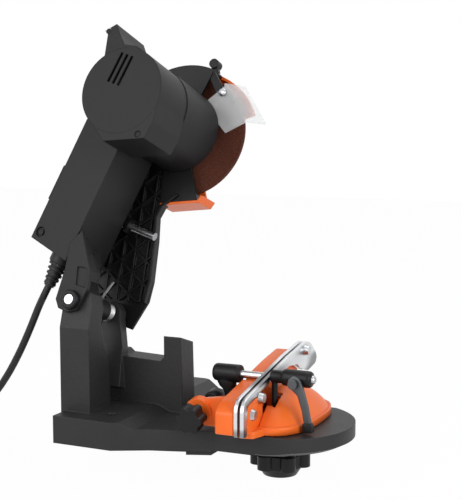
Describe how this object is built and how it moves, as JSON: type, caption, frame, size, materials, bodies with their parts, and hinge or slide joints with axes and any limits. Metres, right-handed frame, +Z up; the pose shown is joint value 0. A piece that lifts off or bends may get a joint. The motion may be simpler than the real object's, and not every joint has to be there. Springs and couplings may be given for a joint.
{
  "type": "electric chain sharpener",
  "caption": "Bench sharpener for saw chains: a motor head with a guarded grinding disc tips down on a spring hinge over a swivelling rail vise",
  "frame": {"origin": "on the bench top under the head hinge, in the plane square to the hinge through the tower's middle", "axes": "+X forward to the vise, +Y away from the switch side, +Z up"},
  "size_m": [0.4014, 0.2733, 0.3519],
  "materials": {
    "cast_base": "matt black coat on a die cast base",
    "charcoal_plastic": "fine texture",
    "black_plastic": "satin black",
    "orange_plastic": "glossy orange",
    "orange_paint": "orange enamel",
    "zinc": "bright zinc",
    "spring_steel": "bare steel",
    "jaw_plate": "brushed plate",
    "pawl_steel": "grey plate",
    "steel_core": "laminations and windings",
    "carbon": "carbon",
    "clear_plastic": "clear sheet",
    "cord_rubber": "black sheath",
    "switch_red": "dark red rocker",
    "fan_plastic": "natural plastic",
    "abrasive": "reddish brown grit",
    "plug_metal": "plated pins"
  },
  "bodies": {
    "base": {"base_casting": "cast_base", "hinge_bolt": "zinc", "hinge_nut": "zinc", "torsion_spring": "spring_steel", "lock_washer": "zinc", "cord_tube": "cord_rubber", "cord_coil": "cord_rubber", "plug_body": "cord_rubber", "plug_pins": "plug_metal"},
    "head": {"arm_near_shell": "charcoal_plastic", "arm_far_shell": "black_plastic", "motor_casing": "charcoal_plastic", "motor_end_cover": "charcoal_plastic", "cover_screws": "zinc", "motor_stator": "steel_core", "carbon_brushes": "carbon", "shaft_bearings": "spring_steel", "wheel_guard": "black_plastic", "guard_cover": "orange_plastic", "guard_knob": "black_plastic", "chip_shield": "clear_plastic", "shield_bracket": "zinc", "stop_screw_bush": "black_plastic", "strain_relief": "cord_rubber", "switch_frame": "black_plastic"},
    "switch": {"switch_rocker": "switch_red"},
    "rotor": {"armature": "steel_core", "cooling_fan": "fan_plastic", "wheel_flanges": "zinc", "grinding_wheel": "abrasive", "arbor_nut": "zinc"},
    "depth_stop": {"depth_stop_screw": "zinc", "depth_stop_knob": "black_plastic"},
    "vise": {"vise_table": "orange_paint", "swivel_stud": "zinc", "fixed_jaw": "jaw_plate", "jaw_screws": "zinc", "guide_pins": "zinc", "adjuster_bracket": "orange_paint"},
    "jaw": {"moving_jaw": "jaw_plate"},
    "clamp": {"clamp_screw": "zinc", "clamp_lever": "black_plastic"},
    "chain_stop": {"stop_carriage": "black_plastic", "pawl_pin": "zinc"},
    "adjuster": {"adjusting_knob": "black_plastic", "adjusting_screw": "zinc"},
    "pawl": {"chain_pawl": "pawl_steel"},
    "lock": {"lock_knob": "black_plastic"}
  },
  "joints": [
    {"name": "head_pivot", "type": "hinge", "parent": "base", "child": "head", "pos_m": [0, 0, 0.0915], "axis": [0, 0.95, -0.3123], "range_deg": [0, 62], "stiffness_Nm_per_rad": 3, "springref_deg": -51.57},
    {"name": "switch_rock", "type": "hinge", "parent": "head", "child": "switch", "pos_m": [-0.03365, -0.00901, 0.19538], "axis": [0, 0.95, -0.3123], "range_deg": [-14, 0]},
    {"name": "wheel_spin", "type": "hinge", "parent": "head", "child": "rotor", "pos_m": [0.0377, 0.04985, 0.24312], "axis": [0, 0.95, -0.3123], "continuous": true},
    {"name": "depth_slide", "type": "slide", "parent": "head", "child": "depth_stop", "axis": [0.9537, -0.0939, -0.2857], "range_m": [0, 0.0092]},
    {"name": "vise_swivel", "type": "hinge", "parent": "base", "child": "vise", "pos_m": [0.151, 0.006, 0.0165], "axis": [0, 0, 1], "range_deg": [-30, 30]},
    {"name": "jaw_close", "type": "slide", "parent": "vise", "child": "jaw", "axis": [1, 0, 0], "range_m": [0, 0.0015]},
    {"name": "clamp_turn", "type": "hinge", "parent": "jaw", "child": "clamp", "pos_m": [0.12, -0.016, 0.055], "axis": [1, 0, 0], "range_deg": [-45, 0]},
    {"name": "stop_slide", "type": "slide", "parent": "vise", "child": "chain_stop", "axis": [0, 0.9848, 0.1736], "range_m": [-0.004, 0.004]},
    {"name": "adjust_turn", "type": "hinge", "parent": "vise", "child": "adjuster", "pos_m": [0.106, -0.06, 0.028], "axis": [0, 0.9848, 0.1736], "range_deg": [-360, 360]},
    {"name": "pawl_flip", "type": "hinge", "parent": "chain_stop", "child": "pawl", "pos_m": [0.176, -0.0185, 0.0546], "axis": [0, 1, 0], "range_deg": [-160, 0]},
    {"name": "lock_turn", "type": "hinge", "parent": "vise", "child": "lock", "pos_m": [0.151, 0.006, -0.009], "axis": [0, 0, 1], "range_deg": [-180, 180]}
  ],
  "couplings": [
    {"joint": "clamp_turn", "follows": "jaw_close", "rad_per_m": -523.4},
    {"joint": "adjust_turn", "follows": "stop_slide", "rad_per_m": 1570}
  ]
}
